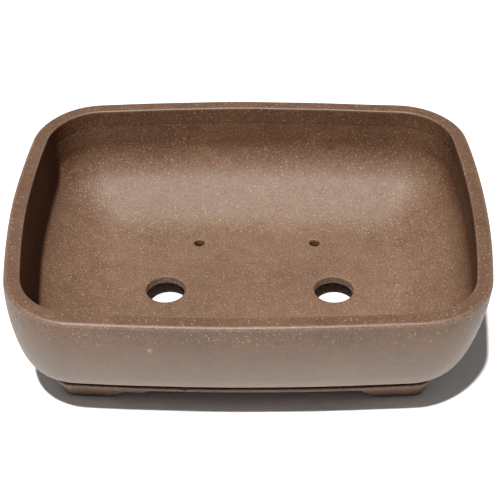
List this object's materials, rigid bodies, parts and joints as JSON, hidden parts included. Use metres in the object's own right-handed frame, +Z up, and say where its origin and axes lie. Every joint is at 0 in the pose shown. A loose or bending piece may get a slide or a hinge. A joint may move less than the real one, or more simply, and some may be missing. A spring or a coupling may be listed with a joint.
{
  "type": "bonsai pot",
  "caption": "Unglazed brown stoneware bonsai pot: shallow rounded rectangle with gently bowed sides, flat lip, coved inside, drain and wire holes, base moulding and bracket feet.",
  "frame": {"origin": "on the ground, under the middle of the pot (bottom centre of the bounding box)", "axes": "+X along the pot's length to its right side, +Y towards its back, +Z up; the front faces -Y"},
  "size_m": [0.28, 0.222, 0.0825],
  "materials": {
    "clay_body": "smooth unglazed stoneware, satin",
    "clay_inside": "unglazed stoneware with fine sand grain, semi-matt",
    "clay_lip": "burnished unglazed stoneware, satin",
    "clay_base": "unglazed stoneware, matt"
  },
  "bodies": {
    "root": {"floor_slab": "clay_inside", "front_wall": "clay_body", "back_wall": "clay_body", "left_wall": "clay_body", "right_wall": "clay_body", "rim_lip": "clay_lip", "base_band": "clay_base", "foot_front_left": "clay_base", "foot_front_right": "clay_base", "foot_back_left": "clay_base", "foot_back_right": "clay_base"}
  },
  "joints": []
}
